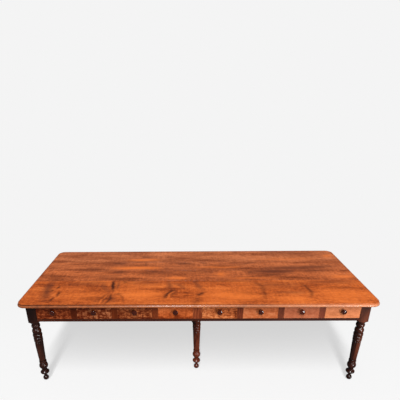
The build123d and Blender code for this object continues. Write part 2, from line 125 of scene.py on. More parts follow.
# The reeds: height share and radius share of their crests at both ends, the gaps between the rings and the ends of
# the rounded heads, the length of a head, and the share of its width that a head starts with
REED_COUNT = 10
REED_RADIUS = 0.010
REED_ENDS = ((0.343, 0.725), (0.678, 0.910))
REED_GAPS = (0.0016, 0.0012)
REED_HEAD = 0.016
HEAD_WIDTH = 0.45

# The block over the turned part: the height of its round shoulder and what is taken off its corners
SHOULDER = 0.009
BLOCK_ARRIS = 0.0014

# Outline of a knob from the front's face outwards, in the same form as that of a leg
KNOB_OUTLINE = (
    (0.00, 0.60, "line"),
    (0.07, 0.60, "line"),
    (0.12, 0.46, "line"),
    (0.34, 0.83, "cove"),
    (0.86, 0.96, "ball"),
    (1.00, 0.00, "ball"),
)
# The radius at which the knob's tip is closed, and how many times its outline is averaged
KNOB_TIP = 0.0004
KNOB_SOFTENING = 6

# How finely the surfaces are drawn: points around a leg and a knob, and the spacing of points along an outline
LEG_POINTS = 200
KNOB_POINTS = 72
POINT_SPACING = 0.0022


# Surfaces, each computed with numpy on a grid


def new_piece(name, mesh):
    piece = bpy.data.objects.new(name, mesh)
    bpy.context.scene.collection.objects.link(piece)
    return piece


def closed_surface(name, rings):
    """A closed surface through rings of points, an array (ring, point, 3). The rings run along the surface and
    each goes once around it; the first and the last ring are closed with fans about their own middles."""
    ring_count, point_count, _ = rings.shape
    poles = np.array([rings[0].mean(0), rings[-1].mean(0)])
    points = np.concatenate([rings.reshape(-1, 3), poles])
    ring = np.arange(ring_count - 1)[:, None] * point_count
    here = np.arange(point_count)[None, :]
    following = (here + 1) % point_count
    quads = np.stack(
        [ring + here, ring + following, ring + point_count + following, ring + point_count + here], axis=-1
    )
    low_pole = ring_count * point_count
    last = (ring_count - 1) * point_count
    low_fan = np.stack([np.full(point_count, low_pole), following[0], here[0]], axis=-1)
    high_fan = np.stack([np.full(point_count, low_pole + 1), last + here[0], last + following[0]], axis=-1)
    loops = np.concatenate([quads.reshape(-1), low_fan.reshape(-1), high_fan.reshape(-1)])
    counts = np.concatenate([np.full(len(quads.reshape(-1, 4)), 4), np.full(2 * point_count, 3)])
    mesh = bpy.data.meshes.new(name)
    mesh.vertices.add(len(points))
    mesh.vertices.foreach_set("co", points.astype(np.float32).reshape(-1))
    mesh.loops.add(len(loops))
    mesh.loops.foreach_set("vertex_index", loops.astype(np.int32))
    mesh.polygons.add(len(counts))
    mesh.polygons.foreach_set("loop_start", np.concatenate([[0], np.cumsum(counts)[:-1]]).astype(np.int32))
    mesh.polygons.foreach_set("use_smooth", np.ones(len(counts), bool))
    mesh.update(calc_edges=True)
    return new_piece(name, mesh)


def eased(length, near=0.0003, far=0.0011, longest_end=0.35):
    """Places along a line of a given length at which its points are set, as shares: close to both ends, so that
    a smooth surface keeps its corners as fine arrises, and evenly between."""
    inner = np.linspace(0.0, 1.0, max(3, int(length / POINT_SPACING) + 2))[1:-1]
    ends = np.array([near, far]) / length
    ends = ends[ends < longest_end]
    inner = inner[(inner > far / length) & (inner < 1 - far / length)]
    return np.unique(np.concatenate([ends, inner, 1 - ends]))


def turned_profile(rows, height, radius, bow):
    """Points (radius, height) down a turned outline. A line is straight, a ball is an arc about a point on the
    axis, and a cove bows inwards by a share of its chord, as a parabola."""
    points = [np.array([[rows[0][1] * radius, rows[0][0] * height]])]
    start = points[0][0]
    for height_share, radius_share, form in rows[1:]:
        end = np.array([radius_share * radius, height_share * height])
        chord = end - start
        length = float(np.hypot(*chord))
        share = eased(length)[:, None]
        line = start + share * chord
        if form == "ball":
            middle = (end @ end - start @ start) / (2 * (end[1] - start[1]))
            ball_radius = np.hypot(start[0], start[1] - middle)
            line[:, 0] = np.sqrt(ball_radius**2 - (line[:, 1] - middle) ** 2)
        if form == "cove":
            inward = np.array([-chord[1], chord[0]]) / length
            line = line + inward * bow * length * 4 * share * (1 - share)
        points.append(line)
        start = end
    points.append(np.array([start]))
    return np.concatenate(points)


def leg_surface(name, place, block):
    """A whole leg as rings about its axis. The turned part has the outline's radius; between the two rings of the
    shaft the radius is the greatest of the core and of ten round rods that lean with the taper and swell from
    nothing to their full height over their rounded heads; the block is a square with eased corners, cut by the
    cone of its shoulder."""
    half = block / 2
    angle = np.arange(LEG_POINTS) * 2 * np.pi / LEG_POINTS
    profile = turned_profile(LEG_OUTLINE, TURNED_HEIGHT, half, COVE_BOW)
    radius, height = profile[:, 0], profile[:, 1]
    (low, low_share), (high, high_share) = ((share * TURNED_HEIGHT, rest * half) for share, rest in REED_ENDS)
    low_end, high_end = low + REED_GAPS[0], high - REED_GAPS[1]
    reeded_low, reeded_high = (share * TURNED_HEIGHT for share in REEDED)
    over_head = REED_HEAD * (1 - np.cos(np.linspace(0, np.pi / 2, 14)))
    even = np.linspace(low + REED_HEAD, high - REED_HEAD, 44)
    extra = np.concatenate([low_end + over_head, high_end - over_head, even])
    extra = extra[(extra > reeded_low) & (extra < reeded_high)]
    core = np.interp(extra, np.array(SHAFT_HEIGHTS) * TURNED_HEIGHT, np.array(SHAFT_RADII) * half)
    keep = (height < reeded_low) | (height > reeded_high)
    height = np.concatenate([height[keep], extra])
    radius = np.concatenate([radius[keep], core])
    order = np.argsort(height, kind="stable")
    height, radius = height[order], radius[order]
    turned = np.repeat(radius[:, None], LEG_POINTS, axis=1)

    share = np.clip((height - low) / (high - low), 0, 1)[:, None]
    crest = low_share + share * (high_share - low_share)
    centre = crest - REED_RADIUS
    nearness = np.clip(np.minimum(height - low_end, high_end - height) / REED_HEAD, 0, 1)[:, None]
    swell = np.sqrt(1 - (1 - nearness) ** 2)
    pitch = 2 * np.pi / REED_COUNT
    turn = (angle[None, :] + pitch / 2) % pitch - pitch / 2
    narrowed = turn / (HEAD_WIDTH + (1 - HEAD_WIDTH) * swell)
    across = REED_RADIUS**2 - (centre * np.sin(narrowed)) ** 2
    rod = np.where(across > 0, centre * np.cos(narrowed) + np.sqrt(np.maximum(across, 0)), 0)
    reeded = turned + swell * np.maximum(rod - turned, 0)
    between = (height > reeded_low) & (height < reeded_high)
    turned = np.where(between[:, None], reeded, turned)

    # The block's rings lie close together over its shoulder and by its upper end
    above = np.concatenate([
        TURNED_HEIGHT + np.linspace(0.0002, 2.2 * SHOULDER, 26),
        np.linspace(TURNED_HEIGHT + 0.026, UNDERSIDE - 0.002, 12),
        [UNDERSIDE - 0.0008, UNDERSIDE],
    ])
    side = half / np.maximum(np.abs(np.cos(angle)), np.abs(np.sin(angle)))
    corner = half * np.sqrt(2) - BLOCK_ARRIS
    square = np.minimum(side, corner)[None, :]
    cone = (half + (above - TURNED_HEIGHT) * half / (2 * SHOULDER))[:, None]
    body = np.minimum(square, cone)
    radius = np.concatenate([turned, body])
    height = np.concatenate([height, above])
    rings = np.stack(
        [
            place[0] + radius * np.cos(angle),
            place[1] + radius * np.sin(angle),
            np.repeat(height[:, None], LEG_POINTS, axis=1),
        ],
        axis=-1,
    )
    return closed_surface(name, rings)


def knob_surface(name, centre_x, centre_z):
    """A turned knob with its spigot, as rings about an axis along Y. Its radius follows the outline, averaged with
    its neighbours a few times so that the rim of its head is soft."""
    outline = turned_profile(KNOB_OUTLINE, KNOB_PROJECTION, KNOB_RADIUS, COVE_BOW)
    outline = outline[outline[:, 0] > KNOB_TIP]
    radius, out = outline.T.copy()
    for _ in range(KNOB_SOFTENING):
        radius[1:-1] = (radius[:-2] + 2 * radius[1:-1] + radius[2:]) / 4
    radius = np.concatenate([np.full(3, KNOB_SPIGOT), radius])
    out = np.concatenate([[-FRONT_THICKNESS, -FRONT_THICKNESS + 0.0005, -0.0005], out])
    angle = np.arange(KNOB_POINTS) * 2 * np.pi / KNOB_POINTS
    rings = np.stack(
        [
            centre_x + radius[:, None] * np.cos(angle),
            np.repeat(FRONT_FACE - out[:, None], KNOB_POINTS, axis=1),
            centre_z + radius[:, None] * np.sin(angle),
        ],
        axis=-1,
    )
    return closed_surface(name, rings)


# Materials: node trees made by small helpers


class Tree:
    """A node tree with short ways to add nodes. Any value may be a socket, a number or a tuple."""

    def __init__(self, tree):
        self.tree = tree

    def find(self, kind):
        """The first node of a kind that the tree already has."""
        return next(node for node in self.tree.nodes if node.type == kind)

    def put(self, socket, value):
        """Links a socket to another, or gives it a value."""
        if isinstance(value, bpy.types.NodeSocket):
            self.tree.links.new(value, socket)
        elif value is not None:
            socket.default_value = value

    def add(self, kind, values=(), **settings):
        """A new node with its settings and the values of its inputs."""
        node = self.tree.nodes.new(kind)
        for key, value in settings.items():
            setattr(node, key, value)
        for key, value in dict(values).items():
            self.put(node.inputs[key], value)
        return node

    def math(self, operation, first, second=None, third=None):
        node = self.add("ShaderNodeMath", operation=operation)
        for socket, value in zip(node.inputs, (first, second, third)):
            self.put(socket, value)
        return node.outputs[0]

    def vector(self, operation, first, second=None):
        node = self.add("ShaderNodeVectorMath", operation=operation)
        for socket, value in zip(node.inputs, (first, second)):
            self.put(socket, value)
        return node.outputs["Value" if operation in ("LENGTH", "DOT_PRODUCT", "DISTANCE") else "Vector"]

    def scaled(self, vector, factor):
        return self.add("ShaderNodeVectorMath", {0: vector, "Scale": factor}, operation="SCALE").outputs[0]

    def where(self):
        """The place on the piece, in metres."""
        return self.add("ShaderNodeTexCoord").outputs["Object"]

    def split(self, vector):
        return self.add("ShaderNodeSeparateXYZ", {0: vector}).outputs

    def noise(self, vector, scale, detail=3.0, roughness=0.55):
        node = self.add(
            "ShaderNodeTexNoise", {"Vector": vector, "Scale": scale, "Detail": detail, "Roughness": roughness}
        )
        return node.outputs["Fac"]

    def drawn_out(self, vector, along, across, detail, roughness=0.55, scale=1.0):
        """Noise drawn out along X: the vector is multiplied by one number along it and by another across it."""
        return self.noise(self.vector("MULTIPLY", vector, (along, across, across)), scale, detail, roughness)

    def span(self, value, low, high, to_low=0.0, to_high=1.0):
        """The value mapped smoothly from one range to another, and kept inside it."""
        node = self.add(
            "ShaderNodeMapRange",
            {0: value, 1: low, 2: high, 3: to_low, 4: to_high},
            interpolation_type="SMOOTHSTEP",
        )
        return node.outputs[0]

    def ramp(self, value, low, high):
        """The value mapped in a straight line from one range to 0 to 1, and kept inside it."""
        return self.add("ShaderNodeMapRange", {0: value, 1: low, 2: high}).outputs[0]

    def blend(self, share, first, second):
        """A colour between two, by the share of the second."""
        node = self.add("ShaderNodeMix", data_type="RGBA")
        for name, value in (("Factor_Float", share), ("A_Color", first), ("B_Color", second)):
            socket = next(s for s in node.inputs if s.identifier == name)
            self.put(socket, value)
        return next(s for s in node.outputs if s.identifier == "Result_Color")


def new_group(name, inputs, outputs):
    """A node group with named sockets, given as name, kind and default: its tree, its inputs and its outputs."""
    tree = bpy.data.node_groups.new(name, "ShaderNodeTree")
    for direction, sockets in (("INPUT", inputs), ("OUTPUT", outputs)):
        for title, kind, *default in sockets:
            socket = tree.interface.new_socket(name=title, in_out=direction, socket_type=f"NodeSocket{kind}")
            if default:
                socket.default_value = default[0]
    entry = tree.nodes.new("NodeGroupInput")
    leave = tree.nodes.new("NodeGroupOutput")
    return Tree(tree), entry.outputs, leave.inputs


# Growth rings: how far the heart of the tree lies behind the face, how far slow and quick sways shift the rings,
# the turn of their wave for each metre, and how sharp it is
HEART_DEPTH = 0.09
SLOW_SWAY = 0.055
QUICK_SWAY = 0.012
RING_WAVE = 1250.0
RING_SHARPNESS = 1.8


def make_grain():
    """Wood whose fibres run along the vector's X. Growth rings, fibres, pores, large patches and a ripple across
    the fibres move the colour between dark, middle and light."""
    t, given, result = new_group(
        "wood_grain",
        [
            ("Vector", "Vector"),
            ("Light", "Color", (0.5, 0.2, 0.08, 1)),
            ("Middle", "Color", (0.35, 0.12, 0.04, 1)),
            ("Dark", "Color", (0.12, 0.03, 0.01, 1)),
            ("Rings", "Float", 0.3),
            ("Fibres", "Float", 0.3),
            ("Ripple", "Float", 0.2),
            ("Patches", "Float", 0.4),
            ("Flecks", "Float", 0.0),
            ("Fleck Density", "Float", 1.0),
            ("Bias", "Float", 0.0),
        ],
        [("Color", "Color"), ("Height", "Float"), ("Roughness", "Float")],
    )
    vector = given["Vector"]
    slow = t.drawn_out(vector, along=1.1, across=5.0, detail=2.0)
    quick = t.drawn_out(vector, along=3.0, across=12.0, detail=2.0)
    _, across, depth = t.split(vector)
    across = t.math("MULTIPLY", across, across)
    depth = t.math("ADD", depth, HEART_DEPTH)
    radius = t.math("SQRT", t.math("ADD", across, t.math("MULTIPLY", depth, depth)))
    swayed = t.math("ADD", radius, t.math("MULTIPLY", slow, SLOW_SWAY))
    swayed = t.math("ADD", swayed, t.math("MULTIPLY", quick, QUICK_SWAY))
    rings = t.math("SINE", t.math("MULTIPLY", swayed, RING_WAVE))
    rings = t.math("POWER", t.math("MULTIPLY_ADD", rings, 0.5, 0.5), RING_SHARPNESS)
    fibres = t.drawn_out(vector, along=9.0, across=330.0, detail=3.0, roughness=0.6)
    pores = t.drawn_out(vector, along=38.0, across=900.0, detail=1.0)
    pores = t.span(pores, low=0.60, high=0.72)
    patches = t.drawn_out(vector, along=2.4, across=11.0, detail=4.0, roughness=0.6)
    flecks = t.drawn_out(vector, along=48.0, across=90.0, detail=3.0, roughness=0.7, scale=given["Fleck Density"])
    ripple = t.drawn_out(vector, along=75.0, across=7.0, detail=2.0, roughness=0.5)
    where = t.drawn_out(vector, along=3.0, across=5.0, detail=1.0)
    where = t.span(where, low=0.35, high=0.65, to_low=0.35)
    ripple = t.math("MULTIPLY", t.math("SUBTRACT", ripple, 0.5), where)
    tone = t.math("MULTIPLY", t.math("SUBTRACT", rings, 0.4), given["Rings"])
    for part, name, middle in (
        (fibres, "Fibres", 0.5), (patches, "Patches", 0.5), (flecks, "Flecks", 0.5), (ripple, "Ripple", 0.0),
    ):
        tone = t.math("ADD", tone, t.math("MULTIPLY", t.math("SUBTRACT", part, middle), given[name]))
    tone = t.math("ADD", t.math("ADD", tone, given["Bias"]), 0.5)
    dark_to_middle = t.blend(t.ramp(tone, 0.0, 0.5), given["Dark"], given["Middle"])
    color = t.blend(t.ramp(tone, 0.5, 1.0), dark_to_middle, given["Light"])
    color = t.blend(t.math("MULTIPLY", pores, t.math("MULTIPLY", given["Fibres"], 0.9)), color, given["Dark"])
    t.put(result["Color"], color)
    t.put(result["Height"], t.math("SUBTRACT", t.math("MULTIPLY", fibres, 0.6), t.math("MULTIPLY", pores, 0.8)))
    t.put(result["Roughness"], t.math("MULTIPLY_ADD", patches, 0.10, t.math("MULTIPLY", fibres, 0.06)))
    return t.tree


# How strong a streak still is at its two ends, before the square root is taken
STREAK_END = 0.12


def make_stroke():
    """A soft curved streak in plan, between two places, bowed to one side: 1 along its middle, fading across its
    width and towards its two ends."""
    t, given, result = new_group(
        "streak",
        [
            ("Vector", "Vector"),
            ("Start", "Vector"),
            ("Span", "Vector", (0.1, 0.0, 0.0)),
            ("Bow", "Vector"),
            ("Width", "Float", 0.01),
            ("Strength", "Float", 0.5),
        ],
        [("Mask", "Float")],
    )
    away = t.vector("SUBTRACT", given["Vector"], given["Start"])
    share = t.math(
        "DIVIDE",
        t.vector("DOT_PRODUCT", away, given["Span"]),
        t.vector("DOT_PRODUCT", given["Span"], given["Span"]),
    )
    share = t.math("MINIMUM", t.math("MAXIMUM", share, 0.0), 1.0)
    arch = t.math("MULTIPLY", t.math("MULTIPLY", share, t.math("SUBTRACT", 1.0, share)), 4.0)
    nearest = t.vector("ADD", t.scaled(given["Span"], share), t.scaled(given["Bow"], arch))
    gap = t.math("DIVIDE", t.vector("DISTANCE", away, nearest), given["Width"])
    falloff = t.math("EXPONENT", t.math("MULTIPLY", t.math("MULTIPLY", gap, gap), -1.0))
    ends = t.math("POWER", t.math("ADD", arch, STREAK_END), 0.5)
    t.put(result["Mask"], t.math("MULTIPLY", t.math("MULTIPLY", falloff, ends), given["Strength"]))
    return t.tree


def make_wear():
    """Edge wear: the mask is 1 where the surface turns within a few millimetres, broken up by noise."""
    t, given, result = new_group(
        "edge_wear",
        [("Vector", "Vector"), ("Radius", "Float", 0.002)],
        [("Mask", "Float"), ("Normal", "Vector")],
    )
    rounded = t.add("ShaderNodeBevel", {"Radius": given["Radius"]}, samples=6).outputs[0]
    facing = t.add("ShaderNodeNewGeometry").outputs["Normal"]
    turn = t.math("SUBTRACT", 1.0, t.vector("DOT_PRODUCT", rounded, facing))
    broken = t.noise(given["Vector"], scale=45.0, detail=4.0, roughness=0.65)
    broken = t.span(broken, low=0.38, high=0.62, to_low=0.25)
    t.put(result["Mask"], t.math("MULTIPLY", t.span(turn, low=0.01, high=0.16), broken))
    t.put(result["Normal"], rounded)
    return t.tree


def make_hollow_shade():
    """Painted shade in the hollows, from ambient occlusion: the mask is 1 deep in a groove and 0 on an open face."""
    t, _, result = new_group("hollow_shade", [], [("Mask", "Float")])
    openness = t.add("ShaderNodeAmbientOcclusion", {"Distance": 0.02}, samples=8, only_local=True).outputs["AO"]
    t.put(result["Mask"], t.span(openness, low=0.45, high=0.95, to_low=1.0, to_high=0.0))
    return t.tree


def make_polish():
    """Polish that lies unevenly: a slow cloudy value for the roughness."""
    t, given, result = new_group("polish", [("Vector", "Vector")], [("Cloud", "Float")])
    t.put(result["Cloud"], t.noise(given["Vector"], scale=6.0, detail=4.0, roughness=0.6))
    return t.tree


# The rim: half the width over which its mask sets in, half the width of the painted dark line of shade at the
# step's foot, and the margin of painted shade inside the step, as distances from the step
RIM_ONSET = 0.0006
QUIRK_WIDTH = 0.0016
RIM_MARGIN = (-0.012, -0.002)


def make_rim():
    """The moulded rim of a board with round corners, centred on the origin. The way in from the edge is the
    corner's radius less the distance from the box that is smaller by it on all sides. The first mask is 1 outside
    the step, the second, for a painted line of shade, is 1 in the corner at the step's foot, and the third, for
    painted shade, rises to 1 over a margin inside it."""
    t, given, result = new_group(
        "rim",
        [("Vector", "Vector"), ("Half", "Vector"), ("Corner", "Float", 0.05), ("Inset", "Float", 0.01)],
        [("Nose", "Float"), ("Quirk", "Float"), ("Margin", "Float")],
    )
    corner = t.add("ShaderNodeCombineXYZ", {"X": given["Corner"], "Y": given["Corner"], "Z": 0.0}).outputs[0]
    beyond = t.vector("SUBTRACT", t.vector("ABSOLUTE", given["Vector"]), t.vector("SUBTRACT", given["Half"], corner))
    beyond = t.vector("MULTIPLY", t.vector("MAXIMUM", beyond, (0, 0, 0)), (1, 1, 0))
    inward = t.math("SUBTRACT", given["Corner"], t.vector("LENGTH", beyond))
    from_step = t.math("SUBTRACT", given["Inset"], inward)
    t.put(result["Nose"], t.ramp(from_step, -RIM_ONSET, RIM_ONSET))
    near = t.math("SUBTRACT", 1.0, t.math("DIVIDE", t.math("ABSOLUTE", from_step), QUIRK_WIDTH))
    t.put(result["Quirk"], t.math("MAXIMUM", near, 0.0))
    t.put(result["Margin"], t.ramp(from_step, *RIM_MARGIN))
    return t.tree


GRAIN = make_grain()
HOLLOW_SHADE = make_hollow_shade()
RIM = make_rim()
STROKE = make_stroke()
WEAR = make_wear()
POLISH = make_polish()


def use(t, group, **values):
    """Places a node group in a material; a name's underscores stand for spaces."""
    node = t.add("ShaderNodeGroup", node_tree=group)
    for name, value in values.items():
        t.put(node.inputs[name.replace("_", " ")], value)
    return node.outputs


def streaks(t, flat, rows):
    """One mask for several streaks, the greatest of them at each point. Rows are kind, start, span, bow, width
    and strength in plan."""
    total = 0.0
    for _, start, span, bow, width, strength in rows:
        mask = use(
            t, STROKE, Vector=flat, Start=(*start, 0), Span=(*span, 0), Bow=(*bow, 0), Width=width,
            Strength=strength,
        )["Mask"]
        total = t.math("MAXIMUM", total, mask)
    return total


# Turns that bring the fibres of a piece onto the X axis of its texture
ALONG_X = (0.0, 0.0, 0.0)
ALONG_Y = (0.0, 0.0, np.pi / 2)
ALONG_Z = (0.0, np.pi / 2, 0.0)


def linear(red, green, blue):
    """A colour seen in sRGB, 0 to 255, as linear light with alpha."""
    share = np.array([red, green, blue]) / 255
    value = np.where(share <= 0.04045, share / 12.92, ((share + 0.055) / 1.055) ** 2.4)
    return (*value.tolist(), 1.0)


def grey(value):
    """A grey in linear light, with alpha."""
    return (value, value, value, 1.0)


# Colours of the streaks in the top
STREAK_TINTS = {"grey": linear(98, 46, 26), "bright": linear(230, 118, 48), "dark": linear(60, 20, 8)}

# Rim of the top, a darker stain on the nose: its colours at the front from left to right, with painted shade at the
# left and a painted highlight at the right; at the ends and behind, with painted shade; and the painted shade in the
# step's corner
RIM_SHADED_LEFT = linear(99, 64, 42)
RIM_HIGHLIT_RIGHT = linear(182, 130, 98)
RIM_BEHIND_STAIN_AND_SHADE = linear(116, 80, 62)
QUIRK_SHADE_TINT = linear(44, 16, 8)
# The stretch in X of the run from left to right, from painted shade to a painted highlight, and in Y of the turn from
# the front's colours to the others
RIM_HIGHLIGHT_RUN = (-1.3, 1.3)
RIM_TURN = (-0.57, -0.52)
# How far the colours cover the wood: on the nose, on the margin as painted shade, and as painted shade in the corner
# at the left and at the right
NOSE_COVER = 0.65
MARGIN_SHADE_COVER = 0.45
QUIRK_SHADE_COVER = (0.75, 0.20)
# How much more coat the nose has than the flat of the top
NOSE_COAT = 0.35

# Finish that all the woods share
WEAR_RADIUS = 0.0016
WEAR_COVER = 0.35
CLOUD_ROUGHNESS = 0.16
GRAIN_STRENGTH = 0.12
GRAIN_HEIGHT = 0.0006


def new_material(name):
    """A new material, its tree and its Principled shader."""
    material = bpy.data.materials.new(name)
    material.use_nodes = True
    t = Tree(material.node_tree)
    return material, t, t.find("BSDF_PRINCIPLED")


def figured(t, where, color, strokes):
    """The colour with streaks over it, each kind blended to its tint. A slow noise shifts the places that they
    are drawn at, and a noise drawn out along X feathers their edges."""
    drift = t.add("ShaderNodeTexNoise", {"Vector": where, "Scale": 9.0, "Detail": 3.0}).outputs["Color"]
    drift = t.vector("MULTIPLY", t.vector("SUBTRACT", drift, (0.5, 0.5, 0.5)), (0.05, 0.04, 0.0))
    feathers = t.noise(t.vector("MULTIPLY", where, (9.0, 110.0, 0.0)), scale=1.0, detail=3.0, roughness=0.65)
    feathers = t.math("MULTIPLY", t.math("SUBTRACT", feathers, 0.5), 0.04)
    feathers = t.add("ShaderNodeCombineXYZ", {"X": feathers}).outputs[0]
    flat = t.vector("MULTIPLY", t.vector("ADD", t.vector("ADD", where, drift), feathers), (1, 1, 0))
    for kind, tint in STREAK_TINTS.items():
        color = t.blend(streaks(t, flat, [row for row in strokes if row[0] == kind]), color, tint)
    return color


def rimmed(t, where, color):
    """The colour with the top's moulded rim over it, and the mask of the rim's nose. At the front the tint goes
    with the square of the share of the way from left to right, from painted shade to a painted highlight; at the
    ends and behind it is one darker colour with painted shade, which also covers the margin inside the step as
    painted shade. A dark line of painted shade lies in the corner at the step's foot."""
    half = (*(float(v) for v in cad_bounds[1][:2]), 0.0)
    edge = use(t, RIM, Vector=where, Half=half, Corner=TOP_CORNER, Inset=EDGE_STEP_INSET)
    across, deep, _ = t.split(where)
    along = t.ramp(across, *RIM_HIGHLIGHT_RUN)
    behind = t.ramp(deep, *RIM_TURN)
    # Painted shade on the margin inside the step, at the ends and behind
    color = t.blend(t.math("MULTIPLY", t.math("MULTIPLY", edge["Margin"], behind), MARGIN_SHADE_COVER), color, RIM_BEHIND_STAIN_AND_SHADE)
    # Painted shade at the left of the front's nose and a painted highlight at its right
    tint = t.blend(t.math("MULTIPLY", along, along), RIM_SHADED_LEFT, RIM_HIGHLIT_RIGHT)
    tint = t.blend(behind, tint, RIM_BEHIND_STAIN_AND_SHADE)
    color = t.blend(t.math("MULTIPLY", edge["Nose"], NOSE_COVER), color, tint)
    # Painted shade: a dark line in the corner at the step's foot, stronger at the left
    cover = t.math("MULTIPLY_ADD", along, QUIRK_SHADE_COVER[1] - QUIRK_SHADE_COVER[0], QUIRK_SHADE_COVER[0])
    color = t.blend(t.math("MULTIPLY", edge["Quirk"], cover), color, QUIRK_SHADE_TINT)
    return color, edge["Nose"]


def wood(
    name, light, middle, dark, turn=ALONG_X, shift=(0, 0, 0), coat=0.25, roughness=0.38, gloss=0.15, strokes=(),
    coat_roughness=0.22, coat_ior=1.5, rim=False, hollow_shade=0.0, block=(1.0, 0.0), **grain,
):
    """A polished wood. Colours are linear. Turn and shift place the piece in the grain, strokes are streaks of its
    own figure, rim is for the moulded edge of the top, hollow_shade is how far painted shade darkens the hollows,
    and block is a height and how much painted light lightens the wood above it."""
    material, t, shader = new_material(name)
    where = t.where()
    mapped = t.add("ShaderNodeMapping", {"Vector": where, "Location": shift, "Rotation": turn}).outputs[0]
    values = {"Rings": 0.25, "Fibres": 0.3, "Ripple": 0.3, "Patches": 0.5, **grain}
    # Painted light: the wood above the block's height is lighter
    if block[1]:
        height = t.split(where)[2]
        values["Bias"] = t.math("MULTIPLY", t.math("GREATER_THAN", height, block[0]), block[1])
    grained = use(t, GRAIN, Vector=mapped, Light=light, Middle=middle, Dark=dark, **values)
    color = grained["Color"]
    shader.inputs["Coat Weight"].default_value = coat
    if strokes:
        color = figured(t, where, color, strokes)
    if rim:
        color, nose = rimmed(t, where, color)
        t.put(shader.inputs["Coat Weight"], t.math("MULTIPLY_ADD", nose, NOSE_COAT, coat))
    wear = use(t, WEAR, Vector=where, Radius=WEAR_RADIUS)
    wear_and_hollow_shade = t.blend(t.math("MULTIPLY", wear["Mask"], WEAR_COVER), color, light)
    # Painted shade: the hollows are darkened towards the dark tone, by ambient occlusion
    if hollow_shade:
        wear_and_hollow_shade = t.blend(t.math("MULTIPLY", use(t, HOLLOW_SHADE)["Mask"], hollow_shade), wear_and_hollow_shade, dark)
    t.put(shader.inputs["Base Color"], wear_and_hollow_shade)
    cloud = use(t, POLISH, Vector=where)["Cloud"]
    cloudy = t.math("MULTIPLY_ADD", cloud, CLOUD_ROUGHNESS, roughness - CLOUD_ROUGHNESS / 2)
    t.put(shader.inputs["Roughness"], t.math("ADD", cloudy, grained["Roughness"]))
    bump = t.add("ShaderNodeBump", {"Strength": GRAIN_STRENGTH, "Distance": GRAIN_HEIGHT})
    t.put(bump.inputs["Height"], grained["Height"])
    t.put(bump.inputs["Normal"], wear["Normal"])
    t.put(shader.inputs["Normal"], bump.outputs[0])
    shader.inputs["Specular IOR Level"].default_value = gloss
    shader.inputs["Coat Roughness"].default_value = coat_roughness
    shader.inputs["Coat IOR"].default_value = coat_ior
    return material


def paint(piece, material):
    piece.data.materials.clear()
    piece.data.materials.append(material)


